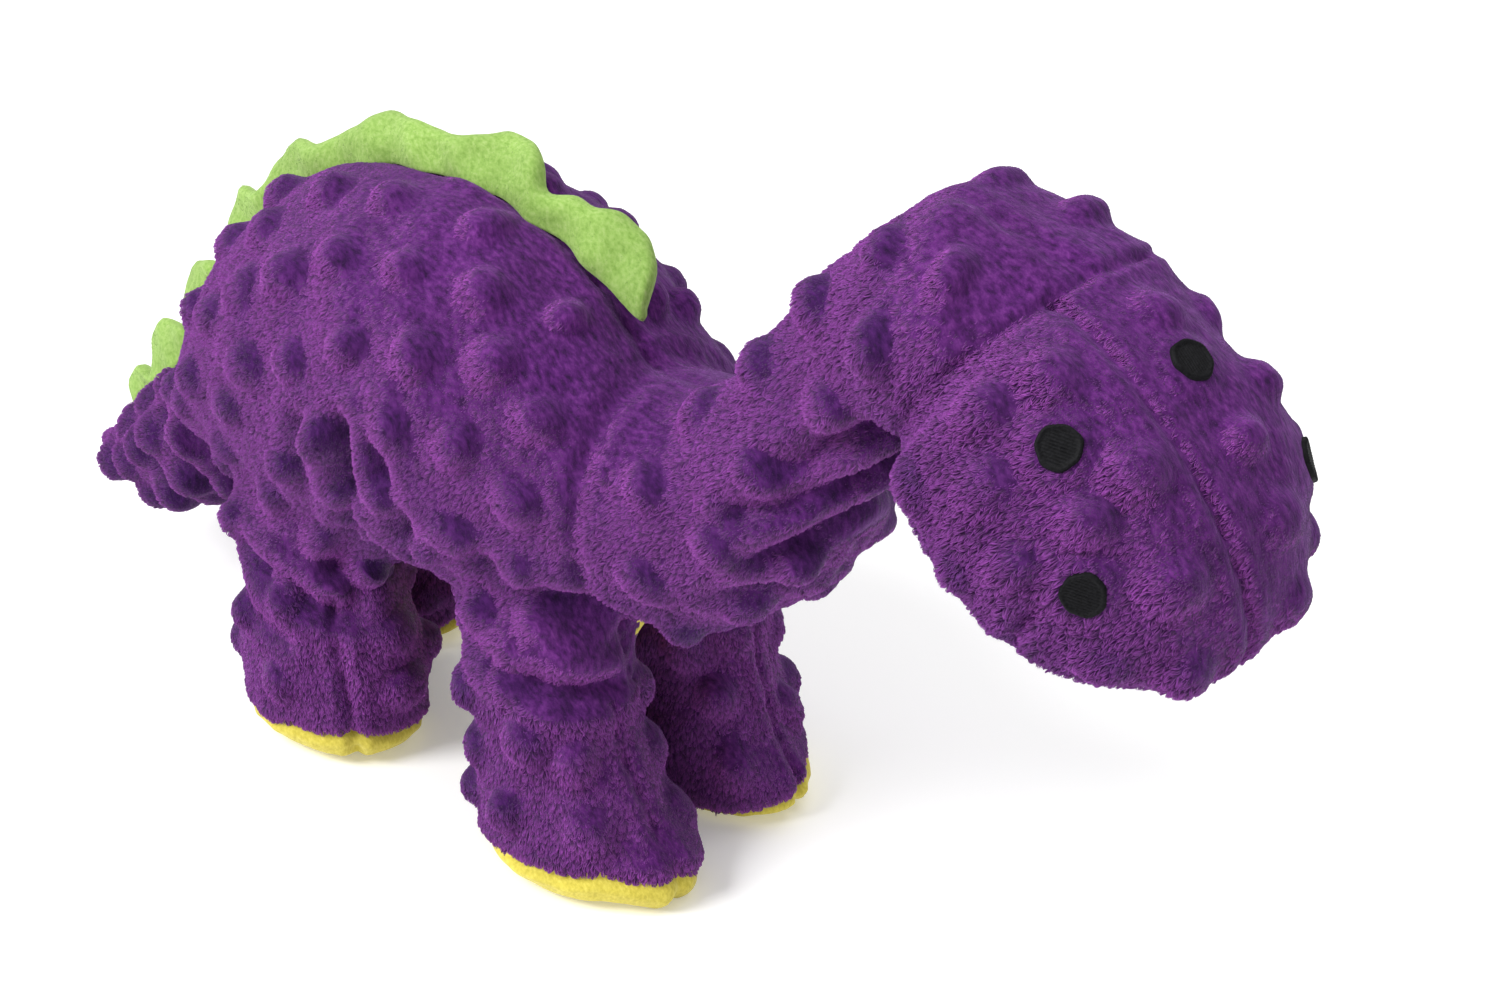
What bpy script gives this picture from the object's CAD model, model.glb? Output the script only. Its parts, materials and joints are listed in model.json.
import json
import math

import bmesh
import bpy
import numpy as np
from mathutils import Euler, Matrix, Vector
from mathutils.bvhtree import BVHTree
from mathutils.kdtree import KDTree


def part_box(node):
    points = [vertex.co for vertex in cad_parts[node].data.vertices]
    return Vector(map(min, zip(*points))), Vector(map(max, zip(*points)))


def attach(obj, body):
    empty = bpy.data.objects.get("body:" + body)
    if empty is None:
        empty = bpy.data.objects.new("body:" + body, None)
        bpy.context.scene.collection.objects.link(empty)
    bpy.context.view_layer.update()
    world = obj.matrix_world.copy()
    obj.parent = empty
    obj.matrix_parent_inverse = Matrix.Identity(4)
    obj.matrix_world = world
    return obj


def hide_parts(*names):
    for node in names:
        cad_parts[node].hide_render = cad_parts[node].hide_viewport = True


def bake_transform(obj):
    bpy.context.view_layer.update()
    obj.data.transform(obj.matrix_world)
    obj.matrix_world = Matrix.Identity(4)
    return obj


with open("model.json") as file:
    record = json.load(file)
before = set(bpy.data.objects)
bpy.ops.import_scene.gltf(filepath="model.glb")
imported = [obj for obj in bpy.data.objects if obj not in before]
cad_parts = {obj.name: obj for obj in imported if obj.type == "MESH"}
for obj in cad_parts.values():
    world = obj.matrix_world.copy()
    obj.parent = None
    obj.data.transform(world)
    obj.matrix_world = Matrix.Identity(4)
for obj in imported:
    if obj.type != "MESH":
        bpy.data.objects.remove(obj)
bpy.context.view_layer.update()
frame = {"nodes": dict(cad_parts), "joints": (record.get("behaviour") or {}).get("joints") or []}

MM = 0.001

# ---- the toy's layout, from the frame, in millimetres where a name ends in _MM -------------------
JOINT = {joint["name"]: joint for joint in frame["joints"]}
LEGS = ("front_right", "front_left", "rear_right", "rear_left")


def in_mm(vector):
    return np.array(vector) * 1000


def middle(node):
    low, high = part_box(node)
    return (low + high) / 2


HEAD_PIVOT = Vector(JOINT["head_nod"]["pos_m"])
TAIL_ROOT = Vector(JOINT["tail_sway"]["pos_m"])
TAIL_RUN = Vector((-0.64, 0, -0.77)).normalized()
HIP_MM = {leg: in_mm(JOINT[f"{leg}_hip"]["pos_m"]) for leg in LEGS}
FOOT_MM = {leg: in_mm(middle(f"{leg}_sole")) for leg in LEGS}

# the head is turned to its right, nose down, and leans to its right
HEAD_TURN = Euler((0, 0, math.radians(-7.5))).to_matrix()
HEAD_DROP = Euler((0, math.radians(35), 0)).to_matrix()
HEAD_LEAN = Euler((math.radians(17), 0, 0)).to_matrix()
HEAD_AXES = HEAD_TURN @ HEAD_DROP @ HEAD_LEAN
HEAD_RUN = HEAD_AXES @ Vector((1, 0, 0))
HEAD_ACROSS = HEAD_AXES @ Vector((0, 1, 0))
HEAD_UP = HEAD_AXES @ Vector((0, 0, 1))
NECK_SEAM_MM = -25.5       # from the head's centre back to its joint
HEAD_CENTRE = HEAD_PIVOT - HEAD_RUN * NECK_SEAM_MM * MM
HEAD_REACH_MM = 68
JAW_SEAM_MM = -12          # below the head's centre
SPOTS = {                  # along and across from the head's centre
    "eye_right": (0.4, -19),
    "eye_left": (-0.6, 12.5),
    "nostril_right": (24, -27),
    "nostril_left": (24, 29.5),
}
SPOT_RADIUS_MM = 4.5

# ---- sizes of the look, in millimetres -----------------------------------------------------------
SEED = 7
VOXEL = 1.9
FORM_ROUNDS = 16           # how often the joined form is evened out
CHEST_SEAM = 36            # where the neck's skin is sewn to the torso's
NECK_LOW = 58              # the neck's skin is above this
TAIL_SEAM = -2             # where the tail's skin is sewn on, past its joint
TAIL_FRONT = -110          # the tail's skin is behind this
LEG_CUT = 51.5             # where a leg's skin leaves the torso's
LEG_REACH = (33, 24.5)     # half width of a leg along X and Y, with its folds
SEAM_ANGLE = {"front_right": 0, "front_left": 0, "rear_right": -29, "rear_left": 25}   # degrees
DART = (21, -22, 8)        # sewn at this place along the head, right of and below these two
NECK_SLOPE = ([50, 76, 98, 118], [35, 58, 40, 5])      # places along X, and degrees
TAIL_DOTS = -112           # dots behind this are stretched along the tail
RUMP = -100
BELLY_HALF = 15
BELLY_TOP = 74
BELLY_ENDS = (-97, 40)
DOT_PITCH = 20.0
DOT_HEIGHT = 3.8
DOT_RADIUS = 5.7
HEAD_DOTS = 0.85           # height of the dots on the head's tighter cloth, as a share
DOT_CLEAR = 5.5            # bare cloth beside a seam
SPOT_CLEAR = 4             # bare cloth beside a spot
PILE = 1.9                 # length of the strands
PILE_DENSITY = 8           # strands for each square millimetre
CREST_PILE = 0.7
CREST_DENSITY = 10
CREST_NAP = (-0.1, 0, -0.2)

# how far each part's cloth is drawn in, so that its dots end near the CAD surface
INSET = {
    "flank": 1.6,
    "belly": 1,
    "neck": 1.4,
    "tail": 1.4,
    "face": 1.5,
    "chin": 0.8,
    "front": 1.2,
    "rear": 1.2,
}

# ---- cushions of stuffing that round out the joined form: centre, axes and half sizes -------------
CUSHIONS = [
    (HEAD_PIVOT - HEAD_RUN * 9 * MM - HEAD_UP * 1 * MM, HEAD_AXES, (22, 31, 24)),
    (HEAD_PIVOT - HEAD_RUN * 19 * MM + HEAD_UP * 1 * MM, HEAD_AXES, (19, 26, 20)),
    (HEAD_PIVOT + (HEAD_RUN * 4 + HEAD_ACROSS * 12 + HEAD_UP * 11) * MM, HEAD_AXES, (18, 20, 15)),
    (TAIL_ROOT + Vector((2, 0, 0)) * MM, Matrix.Identity(3), (17, 20, 18)),
]

# ---- where the stuffing is slack or full: place, reach and how far the cloth stands out ----------
STUFFING = [
    ((-122, 0, 108), 38, -6.0),
    ((-144, 0, 84), 28, -5.0),
    ((-26, -38, 64), 26, -5.0),
    ((-26, 38, 64), 26, -5.0),
    ((38, 0, 140), 26, -4.0),
    ((24, 22, 136), 34, -5.0),
    ((72, 4, 158), 32, -2.0),
    ((104, 12, 186), 30, -1.0),
    ((130, 27, 172), 24, 2.0),
    ((92, 0, 116), 26, -3.0),
    ((154, 32, 162), 26, -3.5),
    ((140, -30, 108), 26, 1.5),
    ((-66, 34, 30), 24, -4.0),
    ((54, -20, 8), 18, 5.0),
    ((-92, -42, 50), 22, -5.0),
    ((-42, -24, 36), 24, 6.0),
    ((56, 36, 24), 20, -4.0),
]

# ---- folds that the cloth holds where it is gathered: points, depth and width --------------------
FOLDS = [
    ([(-22, -49, 113), (-25, -47, 90), (-31, -42, 77), (-46, -34, 58)], 4.5, 3.2),
    ([(-13, -49, 118), (-11, -48, 103), (-7, -46, 93), (-10, -42, 80)], 3.6, 3.0),
    ([(-38, -48, 108), (-42, -47, 88), (-50, -45, 72)], 2.4, 3.0),
    ([(-84, -44, 62), (-70, -45, 55), (-56, -41, 50), (-46, -32, 46)], 4.2, 3.4),
    ([(-44, -30, 52), (-34, -36, 64), (-20, -40, 74)], 3.6, 3.0),
    ([(-92, -44, 44), (-78, -46, 40), (-60, -43, 37)], 2.2, 3.0),
    ([(14, -42, 84), (24, -37, 79), (35, -29, 76), (46, -18, 74), (50, 0, 72)], 6.0, 3.6),
    ([(-4, -41, 66), (12, -44, 63), (24, -41, 60), (36, -33, 57), (42, -20, 56)], 4.4, 3.4),
    ([(-8, -38, 78), (4, -43, 72), (14, -44, 70)], 2.6, 3.0),
    ([(106, -13, 143), (100, -17, 140), (90, -22, 131), (82, -27, 128)], 4.6, 3.6),
    ([(106, 0, 133), (103, -9, 130), (98, -14, 126), (89, -21, 122), (78, -27, 118)], 4.6, 3.6),
    ([(97, 0, 118), (97, -8, 116), (91, -16, 112), (82, -24, 106)], 3.8, 3.6),
    ([(84, 0, 100), (84, -10, 99), (78, -20, 95), (68, -28, 90)], 2.8, 3.4),
    ([(-150, -20, 56), (-140, -20, 50), (-134, -16, 42)], 2.6, 2.6),
    ([(-132, -22, 68), (-124, -22, 58), (-120, -16, 48)], 2.8, 2.8),
]

# ---- the crest: where it is sewn to the back, its free edge, both as (x, z), and its lean in y ---
BACK_CREST = [
    ((28, 137), (29, 138), 0),
    ((24, 140), (32, 151), 2),
    ((20, 142), (28, 158), 4),
    ((10, 147), (18, 162), 5),
    ((3, 151), (7, 162), 3),
    ((-4, 154), (-3, 160), 0),
    ((-8, 156), (-4, 167), 3),
    ((-13, 157), (-9, 172), 6),
    ((-22, 158), (-22, 170), 6),
    ((-35, 158), (-36, 166), 1),
    ((-46, 156), (-46, 168), 3),
    ((-59, 153), (-60, 167), 5),
    ((-70, 149), (-71, 159), 3),
    ((-78, 145), (-80, 152), 0),
    ((-86, 141), (-93, 151), 4),
    ((-95, 134), (-101, 142), 4),
    ((-102, 127), (-105, 131), 0),
    ((-107, 121), (-117, 129), 4),
    ((-113, 114), (-122, 119), 4),
    ((-119, 107), (-122, 109), 1),
    ((-123, 102), (-126, 103), 1),
    ((-127, 97), (-134, 102), 3),
    ((-131, 92), (-141, 96), 4),
    ((-135, 86), (-145, 87), 3),
    ((-138, 81), (-140, 81), 1),
]
TAIL_CREST = [
    ((-140, 78), (-142, 79), 0),
    ((-144, 73.5), (-154, 78), 3),
    ((-149, 68), (-161, 71), 4),
    ((-153, 63.5), (-161, 63), 2),
    ((-156, 60), (-159, 60), 0),
    ((-159, 56), (-170, 59), 3),
    ((-163, 52), (-175, 52), 3),
    ((-166.5, 47.5), (-172, 46), 1),
    ((-168, 45.5), (-169, 45), 0),
]

# ---- how the pile lies, as shares of its length along X, Y and Z, by the start of a panel's name --
NAP = {
    "flank": (-0.6, 0, -0.55),
    "neck": (-0.5, 0, -0.6),
    "face": (-0.45, -0.2, -0.5),
    "chin": (-0.6, 0, 0.1),
    "tail": (-0.7, 0, -0.2),
}
LEG_NAP = (0, 0, -0.75)
AGAINST_NAP = (0.74, 0, 0.67)      # cloth that faces this way holds its pile up, and looks darker

# ---- sizes of the smaller pieces, in millimetres -------------------------------------------------
FILLING_DEPTH = 3.5        # least cover of cloth over the filling
TAIL_COVER = (9, 22)       # further cover at the tail's joint, and how far along the tail it reaches
LEG_BEND_TOP = 48          # a leg's cloth bends below this height, over this length
SOLE_LOW = 2.8             # height of the fleece round a foot, and how much it rises at the outer toe
SOLE_RISE = 8.2
CREST_HALF = 2.7           # half of the crest's thickness
CREST_RISE = ((-130, -85), (1.4, 0.8))     # the free edge's height by place along X
CREST_SUNK = 3
CREST_STEP = 1.1
CREST_ROWS = 16
SPOT_RINGS = 30
SPOT_TURNS = 96
SPOT_BORDER_MM = 3.95      # radius of the corded border
SPOT_THREAD_MM = 0.62      # pitch of the satin threads

# ---- camera and light ----------------------------------------------------------------------------
VIEW_AZIMUTH = math.radians(40.5)
VIEW_ELEVATION = math.radians(30)
VIEW_DISTANCE = 0.541
VIEW_TARGET = Vector((0.0585, 0, 0.1045))
LENS_MM = 58.56
SENSOR_MM = 36
ROOM_LIGHT = 0.5
FLOOR_HALF = 4


def make_camera():
    data = bpy.data.cameras.new("camera")
    data.lens = LENS_MM
    data.sensor_width = SENSOR_MM
    data.clip_start = 0.01
    data.clip_end = 50
    camera = bpy.data.objects.new("camera", data)
    bpy.context.scene.collection.objects.link(camera)
    flat = math.cos(VIEW_ELEVATION)
    back = Vector((math.sin(VIEW_AZIMUTH) * flat, -math.cos(VIEW_AZIMUTH) * flat, math.sin(VIEW_ELEVATION)))
    camera.location = VIEW_TARGET + back * VIEW_DISTANCE
    camera.rotation_mode = "QUATERNION"
    camera.rotation_quaternion = (-back).to_track_quat("-Z", "Y")
    bpy.context.scene.camera = camera


def area_light(name, place, aim, size, power):
    data = bpy.data.lights.new(name, "AREA")
    data.shape = "DISK"
    data.size = size
    data.energy = power
    light = bpy.data.objects.new(name, data)
    light.location = place
    light.rotation_mode = "QUATERNION"
    light.rotation_quaternion = (Vector(aim) - Vector(place)).to_track_quat("-Z", "Y")
    bpy.context.scene.collection.objects.link(light)


def make_light():
    world = bpy.data.worlds.new("studio")
    bpy.context.scene.world = world
    world.use_nodes = True
    background = world.node_tree.nodes["Background"]
    background.inputs["Color"].default_value = (1, 1, 1, 1)
    background.inputs["Strength"].default_value = ROOM_LIGHT
    toy = (0, 0, 0.08)
    area_light("key", (-0.55, -1.15, 1.35), toy, size=0.9, power=29)
    area_light("top", (0.25, 0.2, 1.7), toy, size=1.5, power=12)
    bpy.context.scene.view_settings.view_transform = "Standard"


def make_floor():
    mesh = bpy.data.meshes.new("floor")
    corners = [(x * FLOOR_HALF, y * FLOOR_HALF, 0) for x, y in ((-1, -1), (1, -1), (1, 1), (-1, 1))]
    mesh.from_pydata(corners, [], [(0, 1, 2, 3)])
    floor = new_object("floor", mesh)
    material, surface = new_material("floor")
    surface.inputs["Base Color"].default_value = (0.96, 0.96, 0.96, 1)
    surface.inputs["Emission Color"].default_value = (1, 1, 1, 1)
    surface.inputs["Emission Strength"].default_value = 0.2
    surface.inputs["Roughness"].default_value = 0.6
    mesh.materials.append(material)


# ---- mesh helpers --------------------------------------------------------------------------------
def new_object(name, mesh):
    thing = bpy.data.objects.new(name, mesh)
    bpy.context.scene.collection.objects.link(thing)
    return thing


def array_of(items, field, kind, width):
    flat = np.empty(len(items) * width, kind)
    items.foreach_get(field, flat)
    return flat.reshape(-1, width)


def points_of(mesh):
    """The mesh's points in millimetres."""
    return array_of(mesh.vertices, "co", np.float32, 3).astype(float) * 1000


def put_points(mesh, points):
    mesh.vertices.foreach_set("co", (points * MM).astype(np.float32).ravel())
    mesh.update()


def normals_of(mesh):
    return array_of(mesh.vertex_normals, "vector", np.float32, 3).astype(float)


def edges_of(mesh):
    return array_of(mesh.edges, "vertices", np.int32, 2)


def quads_of(mesh):
    return array_of(mesh.loops, "vertex_index", np.int32, 1).reshape(-1, 4)


def mesh_from(name, points, faces):
    mesh = bpy.data.meshes.new(name)
    mesh.from_pydata((np.asarray(points) * MM).tolist(), [], [list(map(int, face)) for face in faces])
    mesh.polygons.foreach_set("use_smooth", [True] * len(mesh.polygons))
    mesh.update()
    return mesh


def surface_of(points, faces):
    """A surface, in metres, on which the nearest point or a ray's hit is found."""
    return BVHTree.FromPolygons([Vector(point) * MM for point in points], faces.tolist())


def with_modifier(thing, kind, **settings):
    """The mesh that a modifier makes of an object, as a new mesh."""
    modifier = thing.modifiers.new(kind.lower(), kind)
    for key, value in settings.items():
        setattr(modifier, key, value)
    bpy.context.view_layer.update()
    graph = bpy.context.evaluated_depsgraph_get()
    made = bpy.data.meshes.new_from_object(thing.evaluated_get(graph))
    thing.modifiers.clear()
    return made


def smoothed(points, edges, rounds, share=0.5):
    """Each point moves towards the mean of its neighbours, once for each round."""
    first, second = edges[:, 0], edges[:, 1]
    size = len(points)
    count = np.bincount(first, minlength=size) + np.bincount(second, minlength=size)
    for _ in range(rounds):
        total = np.column_stack([
            np.bincount(first, points[second, axis], size) + np.bincount(second, points[first, axis], size)
            for axis in range(3)
        ])
        points = points + share * (total / count[:, None] - points)
    return points


def spread(values, edges, rounds):
    """One number for each point, evened out over the neighbours."""
    return smoothed(np.column_stack([values] * 3), edges, rounds)[:, 0]


def outer_island(points, edges):
    """Which points belong to the connected part that reaches furthest along X."""
    label = np.arange(len(points))
    while True:
        low = np.minimum(label[edges[:, 0]], label[edges[:, 1]])
        before = label.copy()
        np.minimum.at(label, edges[:, 0], low)
        np.minimum.at(label, edges[:, 1], low)
        label = label[label]
        if (label == before).all():
            return label == label[np.argmax(points[:, 0])]


def lump(centre, axes, half):
    """An ellipsoid as a mesh, in metres."""
    made = bmesh.new()
    bmesh.ops.create_icosphere(made, subdivisions=4, radius=1)
    place = Matrix.Translation(centre) @ axes.to_4x4() @ Matrix.Diagonal((*[side * MM for side in half], 1))
    bmesh.ops.transform(made, matrix=place, verts=made.verts)
    mesh = bpy.data.meshes.new("lump")
    made.to_mesh(mesh)
    made.free()
    return mesh


# ---- where a point of the skin belongs -----------------------------------------------------------
def head_place(points):
    """Places along, across and up from the head's centre."""
    return (points - in_mm(HEAD_CENTRE)) @ np.array(HEAD_AXES)


def past_head_seam(points):
    """How far along the head each point is from the head's joint."""
    return (points - in_mm(HEAD_PIVOT)) @ np.array(HEAD_RUN)


def past_tail_seam(points):
    """How far along the tail each point is from the tail's joint."""
    return (points - in_mm(TAIL_ROOT)) @ np.array(TAIL_RUN)


def near_head(points):
    return np.linalg.norm(points - in_mm(HEAD_CENTRE), axis=1) < HEAD_REACH_MM


def leg_offset(leg, points):
    """How far each point is from the leg's own middle line, along X and Y."""
    share = np.clip(points[:, 2] / HIP_MM[leg][2], 0, 1)[:, None]
    line = FOOT_MM[leg][:2] + (HIP_MM[leg][:2] - FOOT_MM[leg][:2]) * share
    return points[:, :2] - line


def on_leg(leg, points):
    offset = leg_offset(leg, points)
    reach = (offset[:, 0] / LEG_REACH[0]) ** 2 + (offset[:, 1] / LEG_REACH[1]) ** 2
    same_side = points[:, 1] * HIP_MM[leg][1] > 0
    return (points[:, 2] < LEG_CUT) & (reach < 1.25) & same_side


def leg_seam(leg, points):
    """Signed distance from the upright plane that holds the leg's two seams, outwards positive."""
    offset = leg_offset(leg, points)
    angle = math.radians(SEAM_ANGLE[leg])
    outward = 1 if HIP_MM[leg][1] > 0 else -1
    return outward * (offset[:, 1] * math.cos(angle) - offset[:, 0] * math.sin(angle))


def sole_edge(points):
    """How high the sole's fleece comes round each foot: highest at the outer toe."""
    x, y, _ = points.T
    height = np.full(len(points), SOLE_LOW)
    for leg in LEGS:
        offset = leg_offset(leg, points)
        outer_toe = math.radians(45 if HIP_MM[leg][1] > 0 else -45)
        turn = np.arctan2(offset[:, 1] / LEG_REACH[1], offset[:, 0] / LEG_REACH[0]) - outer_toe
        near = (abs(offset[:, 0]) < LEG_REACH[0] * 1.3) & (points[:, 1] * HIP_MM[leg][1] > 0)
        height[near] = (SOLE_LOW + SOLE_RISE * (0.5 + 0.5 * np.cos(turn)) ** 2)[near]
    return height + 0.4 * np.sin(x * 0.35 + y * 0.2) + 0.3 * np.sin(y * 0.5 - x * 0.13)


def areas(points, normals):
    """The name of the cloth panel that each point belongs to."""
    x, y, z = points.T
    side = np.where(y > 0, "left", "right")
    name = np.char.add("flank_", side).astype("U24")
    belly = (abs(y) < BELLY_HALF) & (z < BELLY_TOP) & (x > BELLY_ENDS[0]) & (x < BELLY_ENDS[1])
    name[belly & (normals[:, 2] < -0.2)] = "belly_panel"
    neck = (x > CHEST_SEAM) & (z > NECK_LOW)
    name[neck & ~belly] = np.char.add("neck_skin_", side)[neck & ~belly]
    tail = (past_tail_seam(points) > TAIL_SEAM) & (x < TAIL_FRONT)
    name[tail] = np.char.add("tail_skin_", side)[tail]
    head = neck & (past_head_seam(points) > 0) & near_head(points)
    place = head_place(points)
    name[head] = np.where(place[:, 1] > 0, "face_left", "face_right")[head]
    name[head & (place[:, 2] < JAW_SEAM_MM)] = "chin_panel"
    for leg in LEGS:
        inside = on_leg(leg, points)
        outer = leg_seam(leg, points) > 0
        name[inside & outer] = f"{leg}_outer_panel"
        name[inside & ~outer] = f"{leg}_inner_panel"
        name[inside & (z < sole_edge(points))] = f"{leg}_sole"
    return name


# ---- relief of the skin --------------------------------------------------------------------------
def groove(distance, depth, width):
    """A sewn valley with the cloth standing a little proud on both sides."""
    valley = np.exp(-((distance / width) ** 2))
    shoulders = np.exp(-(((distance - 2.2 * width) / width) ** 2))
    return depth * (0.28 * shoulders - valley)


def line_distance(points, line):
    """The distance from each point to a line of straight runs."""
    line = np.array(line, float)
    best = np.full(len(points), 1e9)
    for start, end in zip(line[:-1], line[1:]):
        run = end - start
        share = np.clip(((points - start) @ run) / (run @ run), 0, 1)
        best = np.minimum(best, np.linalg.norm(points - start - share[:, None] * run, axis=1))
    return best


def seam_distances(points, name):
    """For each seam: the distance to it where it runs, its depth and its width."""
    x, y, z = points.T
    far = 99.0
    is_head = np.char.startswith(name, "face") | (name == "chin_panel")
    is_neck = np.char.startswith(name, "neck")
    is_tail = np.char.startswith(name, "tail")
    is_torso = np.char.startswith(name, "flank") | (name == "belly_panel")
    place = head_place(points)
    seams = []
    seams.append((np.where(is_neck | is_torso, abs(x - CHEST_SEAM), far), 0.9, 1.8))
    collar = (is_neck & near_head(points)) | is_head
    seams.append((np.where(collar, abs(past_head_seam(points)), far), 0.8, 1.1))
    seams.append((np.where(is_head & (place[:, 2] > JAW_SEAM_MM), abs(place[:, 1]), far), 1.3, 1.4))
    seams.append((np.where(is_head, abs(place[:, 2] - JAW_SEAM_MM), far), 2.2, 1.8))
    dart_along, dart_right, dart_top = DART
    dart = is_head & (place[:, 1] < dart_right) & (place[:, 2] < dart_top) & (place[:, 2] > JAW_SEAM_MM)
    seams.append((np.where(dart, abs(place[:, 0] - dart_along), far), 1.8, 1.5))
    seams.append((np.where(is_neck, abs(y), far), 0.8, 2.0))
    seams.append((np.where(is_tail | (is_torso & (z > 80)), abs(y), far), 1.4, 2.2))
    seams.append((np.where(is_tail | is_torso, abs(past_tail_seam(points) - TAIL_SEAM), far), 1.0, 2.4))
    belly = is_torso & (z < BELLY_TOP)
    seams.append((np.where(belly, abs(abs(y) - BELLY_HALF), far), 1.2, 2.0))
    for leg in LEGS:
        inside = on_leg(leg, points)
        seams.append((np.where(inside, abs(leg_seam(leg, points)), far), 1.5, 1.5))
        seams.append((np.where(inside, abs(z - sole_edge(points)), far), 1.4, 1.6))
    return seams


def ripple(points, wave_low, wave_high, count, seed):
    """Smooth uneven relief between about -1 and 1, from waves in all directions."""
    draw = np.random.default_rng(seed)
    total = np.zeros(len(points))
    for _ in range(count):
        run = draw.normal(size=3)
        run /= np.linalg.norm(run)
        wave = draw.uniform(wave_low, wave_high)
        total += np.cos(points @ run * (2 * math.pi / wave) + draw.uniform(0, 2 * math.pi))
    return total / math.sqrt(count)


def spread_dots(points, cloth_area, allowed):
    """Evenly spread dot centres: each one settles at the middle of the cloth nearest to it."""
    draw = np.random.default_rng(SEED)
    sample = np.flatnonzero(allowed)[::4]
    cloth = points[sample]
    number = int(cloth_area * allowed.mean() / (DOT_PITCH**2 * 0.866))
    centres = cloth[draw.choice(len(cloth), number, replace=False)]
    for _ in range(14):
        nearest = nearest_of(cloth, centres)
        count = np.maximum(np.bincount(nearest, minlength=number), 1)
        centres = np.column_stack([
            np.bincount(nearest, cloth[:, axis], number) / count for axis in range(3)
        ])
    finder = KDTree(len(cloth))
    for index, point in enumerate(cloth):
        finder.insert(point, index)
    finder.balance()
    return sorted({int(sample[finder.find(centre)[1]]) for centre in centres})


def nearest_of(points, centres):
    """The index of the centre nearest to each point."""
    found = np.empty(len(points), int)
    size = 4000
    for start in range(0, len(points), size):
        block = points[start:start + size]
        gap = ((block[:, None, :] - centres[None, :, :]) ** 2).sum(axis=2)
        found[start:start + size] = gap.argmin(axis=1)
    return found


def neck_run(point):
    """The way that the neck or tail runs at a point, or none elsewhere."""
    if point[0] > 50 and past_head_seam(point[None])[0] < 0:
        slope = math.radians(np.interp(point[0], *NECK_SLOPE))
        return np.array([math.cos(slope), 0, math.sin(slope)])
    if past_tail_seam(point[None])[0] > 0 and point[0] < TAIL_DOTS:
        return np.array([-0.8, 0, -0.6])
    return None


def dot_relief(points, normals, centres):
    """Raised dots of uneven size, stretched across the neck and the tail."""
    draw = np.random.default_rng(SEED + 1)
    finder = KDTree(len(points))
    for index, point in enumerate(points):
        finder.insert(point, index)
    finder.balance()
    relief = np.zeros(len(points))
    for centre in centres:
        middle_point, outward = points[centre], normals[centre]
        radius = DOT_RADIUS * draw.uniform(0.86, 1.12)
        on_head = past_head_seam(middle_point[None])[0] > 0
        height = DOT_HEIGHT * draw.uniform(0.75, 1.15) * (HEAD_DOTS if on_head else 1)
        run = neck_run(middle_point)
        if run is None:
            angle = draw.uniform(0, math.pi)
            run = np.array([math.cos(angle), 0.3, math.sin(angle)])
            long, short = radius * 1.08, radius * 0.94
        else:
            long, short = radius * 1.22, radius * 0.82
        across = np.cross(outward, run)
        across /= np.linalg.norm(across)
        along = np.cross(across, outward)
        near = np.array([found[1] for found in finder.find_range(middle_point, radius * 2.1)])
        offset = points[near] - middle_point
        reach = (offset @ across / long) ** 2 + (offset @ along / short) ** 2
        reach = reach + (offset @ outward / (radius * 1.5)) ** 2
        same_way = np.clip((normals[near] @ outward - 0.1) * 3, 0, 1)
        dome = height * np.exp(-(reach ** 1.7) / 0.6) * same_way
        relief[near] = np.maximum(relief[near], dome)
    return relief


def fold_relief(points):
    """The folds of the right side, and the same ones on the left."""
    relief = np.zeros(len(points))
    for line, depth, width in FOLDS:
        there = np.array(line, float)
        distance = np.minimum(line_distance(points, there), line_distance(points, there * (1, -1, 1)))
        relief += groove(distance, depth, width)
    return relief


def spot_places(surface):
    """Where each sewn spot lies: its centre on the skin, in metres, and the way it faces."""
    places = {}
    for spot, (along, across) in SPOTS.items():
        above = HEAD_CENTRE + (HEAD_RUN * along + HEAD_ACROSS * across + HEAD_UP * 70) * MM
        hit, facing, _, _ = surface.ray_cast(above, -HEAD_UP)
        places[spot] = (hit, facing)
    return places


# ---- the skin's form -----------------------------------------------------------------------------
def base_form():
    """The CAD bodies joined into one smooth closed skin."""
    joined = bmesh.new()
    kinds = ("stuffing", "panel", "left", "right", "sole")
    for name, node in frame["nodes"].items():
        if name.split("_")[-1] in kinds and name not in SPOTS:
            joined.from_mesh(node.data)
    for cushion in CUSHIONS:
        joined.from_mesh(lump(*cushion))
    mesh = bpy.data.meshes.new("form")
    joined.to_mesh(mesh)
    joined.free()
    form = new_object("form", mesh)
    coarse = with_modifier(form, "REMESH", mode="VOXEL", voxel_size=VOXEL * MM, adaptivity=0)
    points, edges, faces = points_of(coarse), edges_of(coarse), quads_of(coarse)
    keep = outer_island(points, edges)
    order = np.cumsum(keep) - 1
    faces = order[faces[keep[faces[:, 0]]]]
    coarse = mesh_from("form", points[keep], faces)
    put_points(coarse, smoothed(points_of(coarse), edges_of(coarse), FORM_ROUNDS))
    form.data = coarse
    fine = with_modifier(form, "SUBSURF", levels=1, render_levels=1)
    bpy.data.objects.remove(form)
    return fine


def can_carry_dots(name, seams, spot_gap):
    """Where the cloth is dotted pile and clear of seams and spots."""
    clear = (spot_gap > SPOT_RADIUS_MM + SPOT_CLEAR) & (name != "belly_panel")
    clear &= ~np.char.endswith(name, "sole")
    for distance, _, _ in seams:
        clear &= distance > DOT_CLEAR
    return clear


def drawn_in(name, edges):
    """How far the cloth is drawn in, evened out between the parts."""
    inset = np.zeros(len(name))
    for start, depth in INSET.items():
        inset[np.char.startswith(name, start)] = depth
    return spread(inset, edges, 60)


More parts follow.
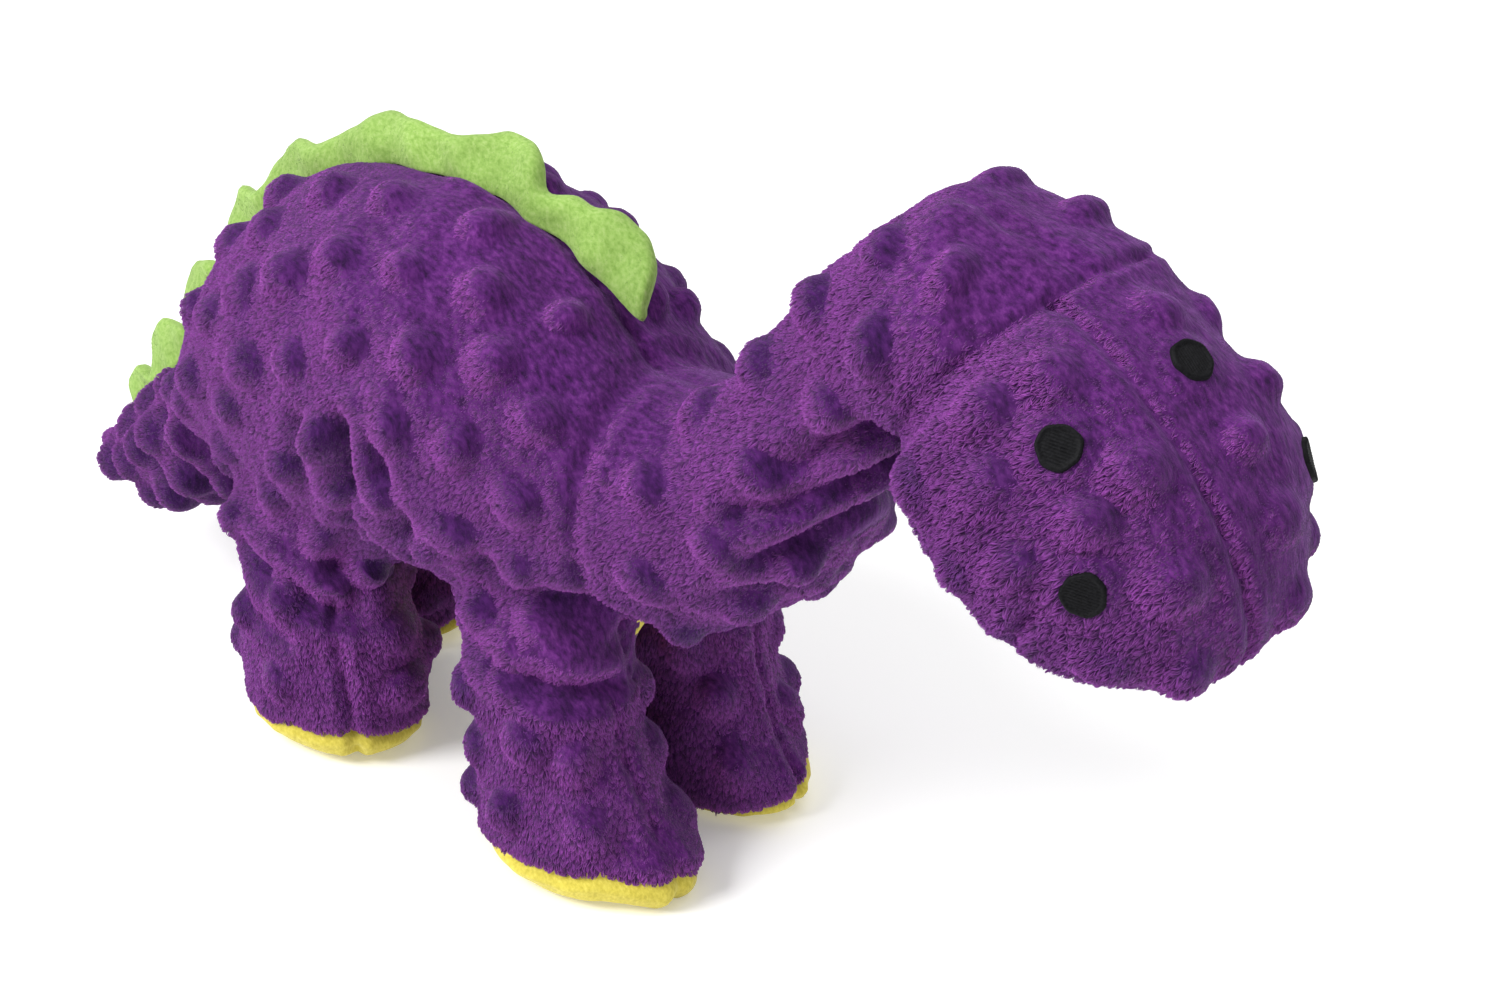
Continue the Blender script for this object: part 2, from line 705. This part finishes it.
def flat_at_spots(relief, spot_gap):
    """The relief dies out around each sewn spot."""
    calm = np.clip((spot_gap - SPOT_RADIUS_MM) / 5, 0, 1)
    calm = calm * calm * (3 - 2 * calm)
    return relief * calm - 0.5 * (1 - calm)


def shaped_skin(fine):
    """The skin's points with dots, seams and folds; the spots' places; each point's gap to a spot."""
    points, normals, edges = points_of(fine), normals_of(fine), edges_of(fine)
    name = areas(points, normals)
    seams = seam_distances(points, name)
    spots = spot_places(surface_of(points, quads_of(fine)))
    spot_gap = np.full(len(points), 99.0)
    for hit, _ in spots.values():
        spot_gap = np.minimum(spot_gap, np.linalg.norm(points - in_mm(hit), axis=1))
    cloth_area = array_of(fine.polygons, "area", np.float32, 1).sum() / MM**2
    centres = spread_dots(points, cloth_area, can_carry_dots(name, seams, spot_gap))
    pucker = 1 + 0.35 * ripple(points, 4, 9, 12, SEED + 2)
    relief = dot_relief(points, normals, centres)
    for distance, depth, width in seams:
        relief += groove(distance, depth, width) * pucker
    relief += fold_relief(points)
    relief -= drawn_in(name, edges)
    for place, reach, amount in STUFFING:
        gap = np.linalg.norm(points - place, axis=1)
        relief += amount * np.exp(-((gap / reach) ** 2) * 1.6)
    relief += 0.55 * ripple(points, 16, 34, 24, SEED + 3)
    relief += 0.13 * ripple(points, 5, 10, 24, SEED + 4)
    relief = flat_at_spots(relief, spot_gap)
    between_legs = np.clip((abs(points[:, 1]) - 1.2) / 3, 0, 1)
    low = points[:, 2] < LEG_CUT
    relief = np.where(low & (relief > 0), relief * between_legs, relief)
    moved = points + normals * relief[:, None]
    moved = smoothed(moved, edges, 1, 0.35)
    moved[:, 2] = np.maximum(moved[:, 2], 0)
    return moved, spots, spot_gap


# ---- materials -----------------------------------------------------------------------------------
def new_material(name):
    material = bpy.data.materials.new(name)
    material.use_nodes = True
    return material, material.node_tree.nodes["Principled BSDF"]


def node(material, kind, **settings):
    made = material.node_tree.nodes.new(kind)
    for key, value in settings.items():
        setattr(made, key, value)
    return made


def link(material, output, target):
    material.node_tree.links.new(output, target)


def noise(material, scale, detail=3, stretch=(1, 1, 1), rough=0.5):
    """Noise in the object's own metres, stretched along the axes."""
    place = node(material, "ShaderNodeTexCoord")
    mapping = node(material, "ShaderNodeMapping")
    mapping.inputs["Scale"].default_value = stretch
    made = node(material, "ShaderNodeTexNoise")
    made.inputs["Scale"].default_value = scale
    made.inputs["Detail"].default_value = detail
    made.inputs["Roughness"].default_value = rough
    link(material, place.outputs["Object"], mapping.inputs["Vector"])
    link(material, mapping.outputs["Vector"], made.inputs["Vector"])
    return made.outputs["Fac"]


def ramp(material, value, stops):
    made = node(material, "ShaderNodeValToRGB")
    made.color_ramp.elements[0].position = stops[0][0]
    made.color_ramp.elements[0].color = (*stops[0][1], 1)
    made.color_ramp.elements[1].position = stops[-1][0]
    made.color_ramp.elements[1].color = (*stops[-1][1], 1)
    for place, colour in stops[1:-1]:
        made.color_ramp.elements.new(place).color = (*colour, 1)
    link(material, value, made.inputs["Fac"])
    return made.outputs["Color"]


def bump(material, surface, height, strength, distance):
    made = node(material, "ShaderNodeBump")
    made.inputs["Strength"].default_value = strength
    made.inputs["Distance"].default_value = distance
    link(material, height, made.inputs["Height"])
    link(material, made.outputs["Normal"], surface.inputs["Normal"])
    return made


def mixed(material, first, second, share, mode="MIX"):
    made = node(material, "ShaderNodeMix", data_type="RGBA", blend_type=mode)
    made.inputs[0].default_value = share
    link(material, first, made.inputs[6])
    link(material, second, made.inputs[7])
    return made.outputs[2]


def brushed(material, colour):
    """The colour by how the pile is brushed: deep where it stands up, pale where it lies."""
    tone = node(material, "ShaderNodeAttribute", attribute_name="brushed")
    stops = [(0, (0.4, 0.3, 0.55)), (0.7, (1, 1, 1)), (1, (1.25, 1.3, 1.2))]
    shade = ramp(material, tone.outputs["Fac"], stops)
    return mixed(material, colour, shade, 1, "MULTIPLY")


def pile_cloth(name, stops, sheen, stroke=900, strength=0.6, depth=0.0006, rough=0.95, napped=False):
    """Cloth with a short lying pile: strokes that follow the nap, and broad uneven patches."""
    material, surface = new_material(name)
    strokes = noise(material, stroke, 4, (0.55, 1, 0.45), 0.6)
    patches = noise(material, 60, 3)
    fine = ramp(material, strokes, stops)
    broad = ramp(material, patches, [(0.3, (0.78, 0.78, 0.78)), (0.7, (1.0, 1.0, 1.0))])
    colour = mixed(material, fine, broad, 1, "MULTIPLY")
    colour = brushed(material, colour) if napped else colour
    link(material, colour, surface.inputs["Base Color"])
    surface.inputs["Roughness"].default_value = rough
    surface.inputs["Sheen Weight"].default_value = sheen[0]
    surface.inputs["Sheen Roughness"].default_value = sheen[1]
    surface.inputs["Sheen Tint"].default_value = (*sheen[2], 1)
    surface.inputs["Specular IOR Level"].default_value = 0.25
    bump(material, surface, strokes, strength, depth)
    return material


def strand_cloth(name, root, tip, napped=False):
    """The pile's own strands, darker at the root."""
    material, surface = new_material(name)
    strand = node(material, "ShaderNodeHairInfo")
    half_way = tuple(np.add(root, tip) / 2)
    colour = ramp(material, strand.outputs["Intercept"], [(0, root), (0.5, half_way), (1, tip)])
    vary = ramp(material, strand.outputs["Random"], [(0, (0.5, 0.5, 0.5)), (1, (1.25, 1.25, 1.25))])
    colour = mixed(material, colour, vary, 1, "MULTIPLY")
    colour = brushed(material, colour) if napped else colour
    link(material, colour, surface.inputs["Base Color"])
    surface.inputs["Roughness"].default_value = 0.62
    surface.inputs["Specular IOR Level"].default_value = 0.35
    surface.inputs["Sheen Weight"].default_value = 0.15
    surface.inputs["Sheen Tint"].default_value = (0.8, 0.5, 1, 1)
    return material


def thread_cloth(name):
    material, surface = new_material(name)
    strands = noise(material, 2600, 2, (1, 0.3, 1))
    colour = ramp(material, strands, [(0.3, (0.002, 0.002, 0.0025)), (0.75, (0.01, 0.01, 0.012))])
    link(material, colour, surface.inputs["Base Color"])
    surface.inputs["Roughness"].default_value = 0.6
    surface.inputs["Specular IOR Level"].default_value = 0.12
    bump(material, surface, strands, 0.5, 0.0002)
    return material


def plastic(name):
    """Plain moulded plastic with a faint cloud."""
    material, surface = new_material(name)
    cloud = noise(material, 180, 3)
    colour = ramp(material, cloud, [(0.3, (0.62, 0.62, 0.6)), (0.7, (0.74, 0.74, 0.72))])
    link(material, colour, surface.inputs["Base Color"])
    surface.inputs["Roughness"].default_value = 0.42
    bump(material, surface, cloud, 0.1, 0.0002)
    return material


def make_materials():
    purple = ((0.30, (0.025, 0.002, 0.045)), (0.5, (0.08, 0.009, 0.125)), (0.72, (0.16, 0.028, 0.22)))
    lime = ((0.3, (0.2, 0.36, 0.06)), (0.52, (0.3, 0.48, 0.11)), (0.75, (0.4, 0.56, 0.18)))
    yellow = ((0.3, (0.58, 0.48, 0.05)), (0.55, (0.74, 0.63, 0.09)), (0.75, (0.84, 0.74, 0.14)))
    white = ((0.3, (0.55, 0.55, 0.53)), (0.7, (0.86, 0.86, 0.84)), (0.9, (0.9, 0.9, 0.88)))
    return {
        "pile": pile_cloth("purple_pile", purple, (0.3, 0.45, (0.75, 0.4, 1)), napped=True),
        "strand": strand_cloth("purple_strand", (0.045, 0.004, 0.075), (0.3, 0.052, 0.38), True),
        "crest": pile_cloth("lime_fleece", lime, (0.4, 0.5, (0.8, 1, 0.5)), 1500, 0.35, 0.0004),
        "crest_strand": strand_cloth("lime_strand", (0.22, 0.38, 0.07), (0.46, 0.62, 0.22)),
        "sole": pile_cloth("yellow_fleece", yellow, (0.3, 0.5, (1, 1, 0.7)), 1700, 0.3, 0.0003),
        "thread": thread_cloth("black_thread"),
        "squeaker": plastic("squeaker_plastic"),
        "fibre": pile_cloth("fibre_fill", white, (0.2, 0.5, (1, 1, 1)), 400, 0.5, 0.001),
    }


# ---- pieces --------------------------------------------------------------------------------------
def cut_panel(name, points, faces, normals, inner, tone):
    """One panel of the skin, shaded at its border as if the cloth went on."""
    used = np.unique(faces)
    order = np.full(len(points), -1)
    order[used] = np.arange(len(used))
    mesh = mesh_from(name, points[used], order[faces])
    shade = np.where(inner[used, None], 0.0, normals[used])
    mesh.normals_split_custom_set_from_vertices(shade.tolist())
    grey = tone[used][array_of(mesh.loops, "vertex_index", np.int32, 1)]
    colours = np.column_stack([grey, grey, grey, np.ones(len(grey))]).astype(np.float32)
    mesh.color_attributes.new("brushed", "BYTE_COLOR", "CORNER").data.foreach_set("color", colours.ravel())
    return new_object(name, mesh), used


def grow_pile(piece, density, length, lay, seed, group=None, width=0.13, children=14):
    """Strands on a piece; density is in strands for each square millimetre."""
    area = sum(polygon.area for polygon in piece.data.polygons) / MM**2
    piece.modifiers.new("pile", "PARTICLE_SYSTEM")
    system = piece.particle_systems[-1]
    system.seed = seed
    if group:
        system.vertex_group_density = group
    strands = system.settings
    strands.type = "HAIR"
    strands.use_advanced_hair = True
    strands.count = max(20, int(area * density / children))
    strands.hair_step = 3
    strands.emit_from = "FACE"
    strands.use_emit_random = True
    strands.use_even_distribution = True
    reach = length * MM / 4        # a strand is four times as long as its emission speed
    strands.normal_factor = reach * 0.34
    strands.object_align_factor = [value * reach for value in lay]
    strands.factor_random = reach * 0.12
    strands.child_type = "INTERPOLATED"
    strands.child_percent = 4
    strands.rendered_child_count = children
    strands.child_length = 1
    strands.roughness_1 = 0.2 * MM
    strands.roughness_1_size = 2 * MM
    strands.roughness_2 = 0.25 * MM
    strands.roughness_2_size = 1 * MM
    strands.clump_factor = 0.7
    strands.clump_shape = 0.2
    strands.root_radius = width
    strands.tip_radius = width * 0.3
    strands.radius_scale = 2 * MM
    strands.shape = 0.2
    strands.use_hair_bspline = False
    strands.render_step = 2
    strands.material_slot = piece.material_slots[-1].name


def nap_of(panel):
    """The way that the pile of a panel lies."""
    for start, lay in NAP.items():
        if panel.startswith(start):
            return lay
    return LEG_NAP


def make_panel(piece, panel, material, gap_to_spot, seed):
    """Gives a cut panel its cloth, its pile and its body."""
    bare = panel == "belly_panel" or panel.endswith("sole")
    piece.data.materials.append(material["sole" if bare else "pile"])
    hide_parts(panel)
    if not bare:
        piece.data.materials.append(material["strand"])
        group = piece.vertex_groups.new(name="pile")
        weight = np.clip((gap_to_spot - SPOT_RADIUS_MM + 0.3) / 0.6, 0, 1).round(1)
        for value in np.unique(weight):
            group.add(np.flatnonzero(weight == value).tolist(), float(value), "REPLACE")
        grow_pile(piece, PILE_DENSITY, PILE, nap_of(panel), seed, "pile")
    hang_on(piece, panel)


def make_skin(material):
    """All panels; returns the skin's surface, the surface of its bare form, and the spots' places."""
    fine = base_form()
    moved, spots, spot_gap = shaped_skin(fine)
    faces = quads_of(fine)
    bare_form = surface_of(points_of(fine), faces)
    bare_normals = normals_of(fine)
    put_points(fine, moved)
    normals = normals_of(fine)
    against = (normals - bare_normals) @ np.array(AGAINST_NAP)
    tone = np.clip(0.7 - 0.75 * against, 0, 1)
    face_middle = points_of(fine)[faces].mean(axis=1)
    face_normal = array_of(fine.polygons, "normal", np.float32, 3)
    face_panel = areas(face_middle, face_normal)
    panels = np.unique(face_panel)
    panel_count = np.zeros(len(moved), int)
    for panel in panels:
        panel_count[np.unique(faces[face_panel == panel])] += 1
    inner = panel_count == 1
    for number, panel in enumerate(panels):
        own_faces = faces[face_panel == panel]
        piece, used = cut_panel(f"{panel}_skin", moved, own_faces, normals, inner, tone)
        make_panel(piece, str(panel), material, spot_gap[used], SEED + number)
    return surface_of(moved, faces), bare_form, spots


def crest_lines(pairs):
    """The crest's sewn line, free edge and lean at even steps, and how far along each step is."""
    base = np.array([(pair[0][0], 0, pair[0][1]) for pair in pairs], float)
    edge = np.array([(pair[1][0], 0, pair[1][1]) for pair in pairs], float)
    edge = base + (edge - base) * np.interp(base[:, 0], *CREST_RISE)[:, None]
    lean = np.array([pair[2] for pair in pairs], float)
    run = np.concatenate([[0], np.cumsum(np.linalg.norm(np.diff(base, axis=0), axis=1))])
    where = np.linspace(0, run[-1], int(run[-1] / CREST_STEP))
    base = np.column_stack([np.interp(where, run, base[:, axis]) for axis in range(3)])
    edge = np.column_stack([np.interp(where, run, edge[:, axis]) for axis in range(3)])
    lean = np.interp(where, run, lean)
    for _ in range(3):
        edge[1:-1] = 0.5 * edge[1:-1] + 0.25 * (edge[:-2] + edge[2:])
        lean[1:-1] = 0.5 * lean[1:-1] + 0.25 * (lean[:-2] + lean[2:])
    return base, edge, lean, where


def crest_section(low, high, lean, thin):
    """The points round one section of the fin: up its left side and down its right."""
    share = np.linspace(0, 1, CREST_ROWS)
    thick = CREST_HALF * np.sqrt(np.clip(1 - share**5, 0, 1))
    reach = high - low
    points = []
    for side, rows in ((1, range(CREST_ROWS)), (-1, range(CREST_ROWS - 2, -1, -1))):
        for row in rows:
            part = share[row]
            bow = lean * part**1.4 + 0.8 * math.sin(0.35 * low[0] + 2.2 * part)
            place = low + reach * part
            points.append((place[0], place[1] + bow + side * thick[row] * thin, place[2]))
    return points


def crest_piece(name, pairs, surface, material):
    """A stuffed fin of fleece between its sewn line and its free edge."""
    base, edge, lean, where = crest_lines(pairs)
    ends = np.clip(np.minimum(where, where[-1] - where) / 4, 0, 1) ** 0.5
    points = []
    for low, high, tilt, thin in zip(base, edge, lean, ends):
        hit, facing, _, _ = surface.find_nearest(Vector(low) * MM)
        low = in_mm(hit) - np.array(facing) * CREST_SUNK
        points += crest_section(low, high, tilt, thin)
    ring = 2 * CREST_ROWS - 1
    faces = []
    for start in range(0, len(points) - ring, ring):
        for turn in range(ring):
            a, b = start + turn, start + (turn + 1) % ring
            faces.append((a, b, b + ring, a + ring))
    faces.append(tuple(range(ring - 1, -1, -1)))
    faces.append(tuple(range(len(points) - ring, len(points))))
    mesh = mesh_from(name, points, faces)
    smooth = smoothed(points_of(mesh), edges_of(mesh), 2)
    smooth = smooth + normals_of(mesh) * (0.35 * ripple(smooth, 6, 14, 20, SEED + 5))[:, None]
    put_points(mesh, smooth)
    mesh.materials.append(material["crest"])
    mesh.materials.append(material["crest_strand"])
    return new_object(name, mesh)


def spot_lift(radius, angle, across, along):
    """How far the stitches stand above the cloth: satin threads inside a corded border."""
    border = math.exp(-(((radius - SPOT_BORDER_MM) / 0.5) ** 2))
    threads = abs(math.sin((across * 0.8 + along * 0.6) * math.pi / SPOT_THREAD_MM))
    cord = abs(math.sin(angle * 24))
    return 0.35 + 0.28 * threads * (1 - border) + (0.45 + 0.2 * cord) * border


def spot_piece(name, hit, facing, surface, material):
    """A disc of satin stitches with a corded border, lying on the skin."""
    sideways = facing.orthogonal().normalized()
    upward = facing.cross(sideways)
    points = []
    for ring in range(SPOT_RINGS + 1):
        radius = SPOT_RADIUS_MM * ring / SPOT_RINGS
        for turn in range(SPOT_TURNS):
            angle = 2 * math.pi * turn / SPOT_TURNS
            wobble = 1 + 0.03 * math.sin(3 * angle + len(name)) + 0.02 * math.sin(7 * angle)
            across = radius * wobble * math.cos(angle)
            along = radius * wobble * math.sin(angle)
            start = hit + (sideways * across + upward * along + facing * 8) * MM
            down, _, _, _ = surface.ray_cast(start, -facing)
            down = down if down is not None else start - facing * 8 * MM
            lift = spot_lift(radius, angle, across, along) if ring < SPOT_RINGS else -0.6
            points.append(in_mm(down + facing * lift * MM))
    faces = []
    for ring in range(1, SPOT_RINGS):
        for turn in range(SPOT_TURNS):
            a = ring * SPOT_TURNS + turn
            b = ring * SPOT_TURNS + (turn + 1) % SPOT_TURNS
            faces.append((a, a + SPOT_TURNS, b + SPOT_TURNS, b))
    faces.append(tuple(range(SPOT_TURNS, 2 * SPOT_TURNS)))
    mesh = mesh_from(name, points, faces)
    made = bmesh.new()
    made.from_mesh(mesh)
    loose = [vertex for vertex in made.verts if not vertex.link_faces]
    bmesh.ops.delete(made, geom=loose, context="VERTS")
    bmesh.ops.recalc_face_normals(made, faces=made.faces)
    made.to_mesh(mesh)
    made.free()
    mesh.materials.append(material["thread"])
    return new_object(name, mesh)


def filling_piece(body, node_name, skin, material):
    """The loose fibre filling of one body: its CAD solid, drawn in to stay under the cloth."""
    thing = new_object(f"{body}_filling", frame["nodes"][node_name].data.copy())
    thing.data = with_modifier(thing, "REMESH", mode="VOXEL", voxel_size=4 * MM, adaptivity=0)
    edges = edges_of(thing.data)
    points = smoothed(points_of(thing.data), edges, 6)
    put_points(thing.data, points)
    uneven = 3.5 + 0.8 * ripple(points, 12, 24, 16, SEED + 6)
    points -= normals_of(thing.data) * uneven[:, None]
    further, along_tail = TAIL_COVER
    for _ in range(3):
        tight = np.exp(-((past_tail_seam(points) / along_tail) ** 2)) * (points[:, 0] < RUMP)
        for index, point in enumerate(points):
            hit, facing, _, _ = skin.find_nearest(Vector(point) * MM)
            depth = (hit - Vector(point) * MM).dot(facing) * 1000
            cover = FILLING_DEPTH + further * tight[index]
            if depth < cover:
                points[index] = in_mm(hit) - np.array(facing) * (cover + 1)
        points = smoothed(points, edges, 2)
    put_points(thing.data, points)
    thing.data.polygons.foreach_set("use_smooth", [True] * len(thing.data.polygons))
    thing.data.materials.clear()
    thing.data.materials.append(material["fibre"])
    return thing


# ---- how the pieces follow the bodies ------------------------------------------------------------
# by the start of a piece's name: its two bodies, and where the bend between them begins and ends
HEAD_BEND = (HEAD_PIVOT + HEAD_RUN * 1 * MM, HEAD_PIVOT + HEAD_RUN * 22 * MM)
BLENDS = {
    "neck": ("torso", "neck", Vector((CHEST_SEAM + 1, 0, 100)) * MM, Vector((75, 0, 100)) * MM),
    "face": ("neck", "head", *HEAD_BEND),
    "chin": ("neck", "head", *HEAD_BEND),
    "head": ("neck", "head", *HEAD_BEND),
    "tail": ("torso", "tail", TAIL_ROOT - TAIL_RUN * 1 * MM, TAIL_ROOT + TAIL_RUN * 24 * MM),
}


def hang_on(piece, name):
    """The piece follows its body, or turns smoothly from one body to the next."""
    for start, (first, second, begin, end) in BLENDS.items():
        if name.startswith(start):
            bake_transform(piece)
            return
    for leg in LEGS:
        if name == f"{leg}_sole":
            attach(piece, f"{leg}_leg")
            return
        if name.startswith(leg):
            hip = Vector(HIP_MM[leg]) * MM
            begin = Vector((hip.x, hip.y, LEG_BEND_TOP * MM))
            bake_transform(piece)
            return
    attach(piece, "torso")


def make_spots(spots, surface, material):
    for name, (hit, facing) in spots.items():
        piece = spot_piece(f"{name}_stitched", hit, facing, surface, material)
        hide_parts(name)
        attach(piece, "head")


def make_crests(bare_form, material):
    for name, pairs, body in (("back_crest", BACK_CREST, "torso"), ("tail_crest", TAIL_CREST, "tail")):
        piece = crest_piece(f"{name}_fleece", pairs, bare_form, material)
        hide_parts(name)
        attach(piece, body)
        grow_pile(piece, CREST_DENSITY, CREST_PILE, CREST_NAP, SEED + 40, None, 0.05)


def make_fillings(surface, material):
    for node_name in [name for name in frame["nodes"] if name.endswith("stuffing")]:
        body = node_name[: -len("_stuffing")]
        piece = filling_piece(body, node_name, surface, material)
        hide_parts(node_name)
        hang_on(piece, node_name)


def paint_squeaker(material):
    """The squeaker's two CAD pieces are shown as they are."""
    for name in ("squeaker_case", "squeaker_reed"):
        shell = frame["nodes"][name].data
        shell.materials.clear()
        shell.materials.append(material["squeaker"])


def main():
    make_camera()
    make_light()
    make_floor()
    material = make_materials()
    surface, bare_form, spots = make_skin(material)
    make_spots(spots, surface, material)
    make_crests(bare_form, material)
    make_fillings(surface, material)
    paint_squeaker(material)


main()
